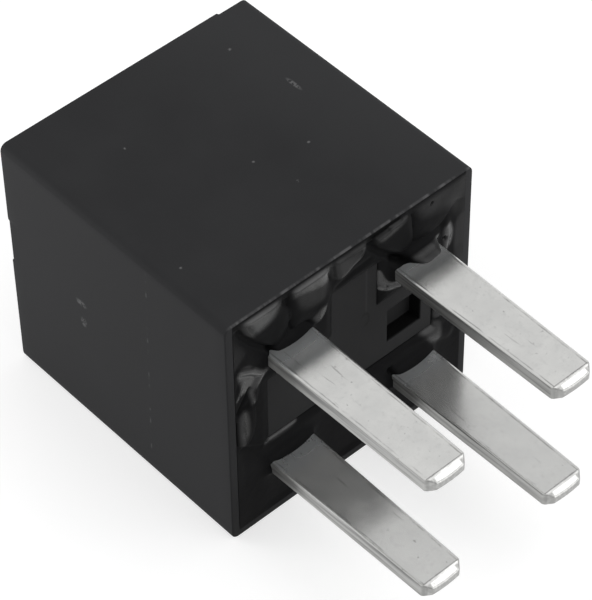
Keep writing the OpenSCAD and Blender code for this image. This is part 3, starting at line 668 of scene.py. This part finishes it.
def cover_plastic():
    """Moulded black plastic with a fine eroded grain and soft clouds, with a painted sheen that
    makes it lighter toward +Y and the closed end, painted shade on its rim, a broken painted
    highlight along the rim's top edge, a few scuffs and a broken score down one side."""
    f = Finish("moulded_cover_plastic")
    cloud = f.noise(0.35, 4)
    grain = f.noise(9, 3, roughness=0.6)
    colour = f.blend(cloud, (0.026, 0.0262, 0.0275), (0.034, 0.0342, 0.0355))
    # painted sheen: lighter toward +Y and toward the closed end
    painted_sheen = f.step(f.y - 0.3 * f.x, 3, 11)
    colour = f.blend(0.6 * painted_sheen, colour, (0.044, 0.0445, 0.046))
    # painted shade darkens the rim's flat, most low down, and a painted highlight lies broken along
    # its outer edge on top
    # painted shade on the rim's flat, strongest low down
    rim = f.step(f.x, -0.06, -0.02)
    colour = f.blend(rim * f.step(f.z, -7, 3, 0.6, 0.25), colour, (0.008, 0.008, 0.0083))
    # painted highlight, broken, where the light catches the rim's outer top edge
    painted_rim_highlight = f.step(f.x, -0.14, -0.07) * f.step(f.z, HALF_Z - 0.12, HALF_Z - 0.05)
    painted_rim_highlight = painted_rim_highlight * f.step(f.noise(0.8, 6, (0.2, 1, 0), 0.7), 0.42, 0.6)
    scuffs = 0
    for place, size in SCUFFS:
        scuffs = scuffs + f.spot(place, size, 0.7)
    worn = scuffs * f.step(f.noise(7, 2), 0.38, 0.52)
    score = f.step(abs(f.x - 0.034 * f.z + SCORE_X), 0.02, 0.07, 1, 0)
    side = f.step(f.y, -HALF_Y + 0.02, -HALF_Y + 0.1, 1, 0)
    score = score * side * f.step(f.noise(1.5, 4, (0, 0, 1), 0.6), 0.5, 0.62)
    # real scuffs and score, and the painted rim highlight, all in one pale colour
    pale = (worn * 0.9).at_least(painted_rim_highlight * 0.55).at_least(score * 0.4)
    colour = f.blend(pale, colour, (0.13, 0.13, 0.132))
    return f.done(
        base_color=colour, roughness=0.5 + 0.12 * cloud, specular_ior_level=0.05,
        normal=f.bumps(grain, 0.02, 0.4))


RIB_Y = 1.15  # where a painted highlight stands for a thin rib up the tongue
ARC_Y, ARC_Z = 1.05, 1.6  # the middle of the small oval with an arc of painted shade at its foot


def base_plastic():
    """Moulded black base plastic, a little smoother than the cover, with painted shade on its
    pocket's walls, a painted highlight for a thin rib, and painted shade on one arc of a small oval
    on its island."""
    f = Finish("moulded_base_plastic")
    cloud = f.noise(0.8, 4)
    grain = f.noise(7, 3)
    colour = f.blend(cloud, (0.018, 0.018, 0.0185), (0.022, 0.022, 0.0225))
    # painted shade: the pocket's walls below the island's face are made nearly black
    side = abs(f.y - POCKET_Y).at_least(abs(f.z))
    wall = f.step(side, POCKET_HALF - 0.03, POCKET_HALF - 0.01) * f.step(
        f.x, ISLAND_X - 0.12, ISLAND_X - 0.04, 1, 0)
    # painted highlight along a thin rib up the tongue
    painted_rib_highlight = f.step(abs(f.y - RIB_Y), 0.02, 0.09, 1, 0) * f.step(f.z, 1.9, 2.3)
    # painted shade on the arc at the foot of the small oval
    across, up = f.y - ARC_Y, f.z - ARC_Z
    arc = abs(9 * (across * across + 0.45 * up * up) - 0.75)
    arc = f.step(arc, 0.1, 0.5, 1, 0) * f.step(f.y + 0.3 * f.z, 1.3, 1.6)
    colour = f.blend(painted_rib_highlight * 0.8, colour, (0.03, 0.03, 0.031))
    colour = f.blend(arc * 0.5, colour, (0.006, 0.006, 0.006))
    return f.done(
        base_color=f.blend(wall, colour, (0.006, 0.006, 0.006)), specular_ior_level=0.03,
        roughness=0.42 + 0.14 * cloud, normal=f.bumps(grain, 0.02, 0.3))


def potting():
    """Poured black epoxy: dull where it is flat, with a glossy skin over its rolls and painted
    shade in its pits and slits.
    """
    f = Finish("poured_epoxy")
    cloud = f.noise(0.9, 4)
    ripples = f.noise(2.2, 3)
    colour = f.blend(cloud, (0.005, 0.005, 0.0053), (0.009, 0.009, 0.0094))
    return f.done(
        # painted shade makes the pits and slits nearly black
        base_color=f.blend(f.painted("hollow"), colour, (0.0005, 0.0005, 0.0005)),
        roughness=0.4 + 0.25 * cloud, specular_ior_level=0.02,
        coat_weight=f.painted("shine") * f.step(cloud, 0.3, 0.6, 0.75, 1), coat_roughness=0.26,
        normal=f.bumps(ripples, 0.05, 0.4))


def tinned_blade():
    """Bright tin over brass: a soft mirror with mottling, a few specks and fine scratches along
    X. Its sheared sides, its cut corners and its end are dull and grey with drawing lines, a dark
    line of painted reflection lies beside each rolled long edge and before the tip, and near the
    rim the resin's vapour has left it dull, with a band of painted dark reflection on the upper
    pair and painted shade over the lower pair's far parts."""
    f = Finish("tinned_brass")
    lines = f.noise(3.5, 4, (0.05, 1.6, 1.6), 0.6)
    cloud = f.noise(0.8, 5)
    mottle = f.noise(2.6, 6, roughness=0.7)
    # distances in from the long edge, out past the line of the cut corner, and out to the bow
    across = abs(abs(f.y) - BLADE_Y)
    edge = BLADE_HALF_W - BLADE_TAPER * f.x - across
    run, drop = TIP_CUT - TIP_BOW, BLADE_END_HALF_W - TIP_HALF_W
    slant = math.hypot(run, drop)
    corner = (drop / slant) * (f.x - (BLADE_OUT - TIP_CUT)) + (run / slant) * (
        across - BLADE_END_HALF_W)
    bowed = f.x + (TIP_BOW / TIP_HALF_W ** 2) * across * across
    # bare sheared metal: the tip, and the narrow sides from just inside the rim outwards
    end = f.step(corner, -0.05, -0.02).at_least(f.step(bowed, BLADE_OUT - 0.12, BLADE_OUT - 0.06))
    end = end.at_least(f.step(across, 0.74, 0.84) * f.step(f.x, BLADE_OUT - 0.38, BLADE_OUT - 0.3))
    raw = f.step(edge, 0.02, 0.06, 1, 0) * f.step(f.x, -0.7, -0.4)
    raw = raw.at_least(end)
    # broken dark lines of painted reflection, a little way in from each rolled long edge and from
    # the tip
    painted_edge_reflection = f.step(abs(edge + 0.08 * cloud - 0.22), 0.01, 0.06, 1, 0) * f.step(
        f.noise(1.2, 5, (0.5, 1, 1), 0.65), 0.42, 0.62)
    tip = f.step(f.x + 0.3 * mottle, BLADE_OUT - 0.4, BLADE_OUT - 0.22) * f.step(
        f.x, BLADE_OUT - 0.36, BLADE_OUT - 0.3, 1, 0)
    painted_edge_reflection = painted_edge_reflection.at_least(tip * f.step(cloud, 0.3, 0.6))
    specks = f.step(f.noise(4.5, 2), 0.69, 0.76)
    scratches = f.step(f.noise(4, 3, (0.1, 1.5, 1.5)), 0.66, 0.72) * f.step(
        f.noise(0.5, 2), 0.48, 0.6)
    upper = f.step(f.z, 0, 0.1)
    right = f.step(f.y, 0, 0.1)
    # the haze near the rim, and a band of painted dark reflection along it on the upper pair,
    # nearer the rim on the upper right blade
    out = f.x + 0.3 * upper * right
    dull = f.step(out + 0.5 * cloud, 1.0, 2.1, 1, 0)
    painted_reflection_band = f.step(out + 0.3 * cloud, 1.2, 1.8) * f.step(out + 0.3 * cloud, 1.8, 2.2, 1, 0)
    shade = f.blend(f.step(cloud, 0.3, 0.75), (0.81, 0.81, 0.795), (0.89, 0.89, 0.87))
    # painted shade: the lower pair's far parts are a little greyer, on the right from nearer the
    # rim
    painted_far_shade = (1 - upper) * f.step(f.x + 3.8 * right, 6.6, 8.2)
    shade = f.blend(painted_far_shade * 0.5, shade, (0.7, 0.7, 0.69))
    shade = f.blend(0.3 * f.step(mottle, 0.5, 0.72), shade, (0.6, 0.6, 0.59))
    shade = f.blend(dull * 0.5, shade, (0.66, 0.7, 0.73))
    # painted dark reflection band on the upper pair
    shade = f.blend(painted_reflection_band * upper * 0.55, shade, (0.34, 0.36, 0.37))
    shade = f.blend(specks.at_least(scratches) * 0.5, shade, (0.3, 0.3, 0.29))
    shade = f.blend(raw, shade, f.blend(
        f.step(lines, 0.36, 0.6).at_least(0.6 * end), (0.24, 0.24, 0.235), (0.46, 0.46, 0.45)))
    # painted reflection: the dark lines along the long edges and before the tip
    shade = f.blend(painted_edge_reflection * 0.6, shade, (0.24, 0.24, 0.235))
    return f.done(
        base_color=shade, metallic=0.85,
        roughness=0.17 + 0.06 * cloud + 0.08 * dull + 0.16 * raw,
        normal=f.bumps(lines, 0.005, 0.15, f.bumps(f.noise(0.7, 0), 0.04, 0.25)))


def plated(name, colour, roughness):
    """A plated metal part: faint clouds in its colour and a fine rolled grain."""
    f = Finish(name)
    cloud = f.noise(1.2, 4)
    fine = f.noise(8.4, 2)
    dark = tuple(c * 0.82 for c in colour)
    return f.done(
        base_color=f.blend(cloud, dark, colour), metallic=1.0,
        roughness=roughness + 0.12 * cloud, normal=f.bumps(fine, 0.01, 0.3))


def moulded(name, colour, roughness=0.45):
    """A moulded or cast insulating part with a faint grain."""
    f = Finish(name)
    cloud = f.noise(1.1, 4)
    fine = f.noise(8, 2)
    dark = tuple(c * 0.8 for c in colour)
    return f.done(base_color=f.blend(cloud, dark, colour), roughness=roughness + 0.1 * cloud,
                  normal=f.bumps(fine, 0.012, 0.3))


WIRE_PITCH = 0.1  # from one turn of the winding to the next


def wound_wire():
    """Enamelled wire laid side by side, one turn for each pitch along X."""
    f = Finish("wound_enamelled_wire")
    turns = f.x.math("SINE", f.x * (2 * math.pi / WIRE_PITCH))
    cloud = f.noise(0.9, 3)
    return f.done(
        base_color=f.blend(cloud, (0.34, 0.12, 0.05), (0.55, 0.22, 0.10)), metallic=0.85,
        roughness=0.28 + 0.1 * cloud, normal=f.bumps(turns, 0.03, 0.6))


finishes = {
    "cover_plastic": cover_plastic(),
    "base_plastic": base_plastic(),
    "potting_epoxy": potting(),
    "tinned_brass": tinned_blade(),
    "plated_iron": plated("zinc_plated_iron", (0.60, 0.61, 0.62), 0.3),
    "bobbin_plastic": moulded("bobbin_plastic", (0.03, 0.10, 0.07)),
    "enamelled_copper": wound_wire(),
    "tape": moulded("polyester_tape", (0.55, 0.38, 0.06), 0.25),
    "spring_bronze": plated("rolled_spring_bronze", (0.72, 0.43, 0.26), 0.24),
    "contact_silver": plated("contact_silver", (0.86, 0.85, 0.82), 0.3),
    "rivet_brass": plated("turned_brass", (0.74, 0.60, 0.32), 0.28),
    "stop_metal": plated("stamped_brass_strip", (0.68, 0.60, 0.44), 0.3),
    "resistor_ceramic": moulded("resistor_coating", (0.10, 0.24, 0.36), 0.35),
    "resistor_wire": plated("tinned_wire", (0.74, 0.74, 0.74), 0.25),
}
# The nodes that keep their own shapes, and the finish that each takes
carried_over = {
    "yoke": "plated_iron", "core": "plated_iron", "armature": "plated_iron",
    "bobbin": "bobbin_plastic", "coil_winding": "enamelled_copper",
    "coil_leads": "enamelled_copper", "coil_tape": "tape", "moving_contact": "contact_silver",
    "fixed_contact": "contact_silver", "spring_rivets": "rivet_brass",
    "armature_rivets": "rivet_brass", "backstop": "stop_metal",
    "resistor_body": "resistor_ceramic", "resistor_leads": "resistor_wire",
}
for name, finish in carried_over.items():
    mesh = nodes[name].data
    mesh.materials.clear()
    mesh.materials.append(finishes[finish])

# ---------------------------------------------------------------- pieces

cover = make_piece("cover_moulded", *cover_shape(), "cover_plastic")
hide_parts("cover")
pour_points, pour_faces, pour_paint = potting_shape()
seal = make_piece("potting_poured", pour_points, pour_faces, "potting_epoxy", sharp_over=60,
                  painted=pour_paint)
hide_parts("potting_seal")
softened("base", "base_plastic", width=0.05, segments=2)


def blade_edges(ends):
    """Edge widths of a stamped blade as shares: its long edges are round, those of the coined tip
    less so, and those inside the relay stay crisp."""
    long_edge = abs(ends[:, 1, 0] - ends[:, 0, 0]) > BLADE_OUT / 2
    outside = ends[:, :, 0].mean(1) > PLATE_X
    return np.where(outside, np.where(long_edge, 1, 0.65), 0.3)


for name in BLADES:
    softened(name, "tinned_brass", width=0.14, weigh=blade_edges)

spring = softened("contact_spring", "spring_bronze", width=0.025, segments=2, ride=None)
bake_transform(spring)

# ---------------------------------------------------------------- floor, light and camera

FLOOR_TONE = 0.55  # the floor's own grey, which takes the shadow
FLOOR_GLOW = 0.58  # and what it adds where it is seen, so that it comes out nearly white
floor_finish = Finish("pale_floor")
ray = floor_finish.tree.nodes.new("ShaderNodeLightPath")
camera_ray, glossy_ray, clear_ray = (
    Value(floor_finish.tree, ray.outputs["Is " + kind + " Ray"])
    for kind in ("Camera", "Glossy", "Transmission"))
seen = camera_ray.at_least(glossy_ray).at_least(clear_ray)
floor_finish.done(base_color=(FLOOR_TONE, FLOOR_TONE, FLOOR_TONE, 1), roughness=0.9,
                  specular_ior_level=0.1, emission_strength=1,
                  emission_color=floor_finish.blend(seen * FLOOR_GLOW, (0, 0, 0), (1, 1, 1)))
floor_mesh = bpy.data.meshes.new("floor")
reach = 1.5
under = -0.02 * MM  # just clear of the cover's underside
floor_mesh.from_pydata(
    [(-reach, -reach, under), (reach, -reach, under), (reach, reach, under),
     (-reach, reach, under)], [], [(0, 1, 2, 3)])
floor_mesh.materials.append(floor_finish.material)
floor = bpy.data.objects.new("floor", floor_mesh)
bpy.context.scene.collection.objects.link(floor)

world = bpy.data.worlds.new("studio")
bpy.context.scene.world = world
world.use_nodes = True
sky = world.node_tree.nodes["Background"].inputs
sky["Color"].default_value = (1, 1, 1, 1)
sky["Strength"].default_value = 0.66


def softbox(name, place, aim, size, brightness):
    """A square lamp at a place, aimed at a point. Its power is pi times the brightness and the
    area of its face."""
    lamp = bpy.data.lights.new(name, "AREA")
    lamp.shape = "SQUARE"
    lamp.size = size
    lamp.energy = brightness * math.pi * size * size
    holder = bpy.data.objects.new(name, lamp)
    holder.location = place
    holder.rotation_euler = (Vector(aim) - Vector(place)).to_track_quat("-Z", "Y").to_euler()
    holder.visible_camera = False
    bpy.context.scene.collection.objects.link(holder)


softbox("front_softbox", (0.27, 0.155, 0.12), (0, 0, 0.01), 0.28, 2.0)
softbox("overhead_softbox", (0.07, 0.15, 0.32), (0, 0, 0.01), 0.22, 1.05)
softbox("side_softbox", (-0.036, -0.036, 0.02), (-0.007, -0.0079, 0.012), 0.02, 5.0)

# The camera: its turns in degrees, the last about its line of sight, and in metres where it aims
# from the middle of the relay's box and how far off it stands
CAMERA_TURNS = ((48.48, "Z"), (42.527, "X"), (-0.88, "Z"))
CAMERA_AIM = (-0.0012045, -0.000024, 0.00082)
CAMERA_AWAY = 0.14991

camera_data = bpy.data.cameras.new("camera")
camera_data.lens = 184.03
camera_data.sensor_width = 36
camera_data.clip_start = 0.005
camera_data.clip_end = 10
camera = bpy.data.objects.new("camera", camera_data)
low, high = (Vector(corner) for corner in cad_bounds)
stand = Matrix.Translation((low + high) / 2 + Vector(CAMERA_AIM))
for degrees, axis in CAMERA_TURNS:
    stand = stand @ Matrix.Rotation(math.radians(degrees), 4, axis)
camera.matrix_world = stand @ Matrix.Translation((0, 0, CAMERA_AWAY))
bpy.context.scene.collection.objects.link(camera)
bpy.context.scene.camera = camera
bpy.context.scene.view_settings.view_transform = "Standard"
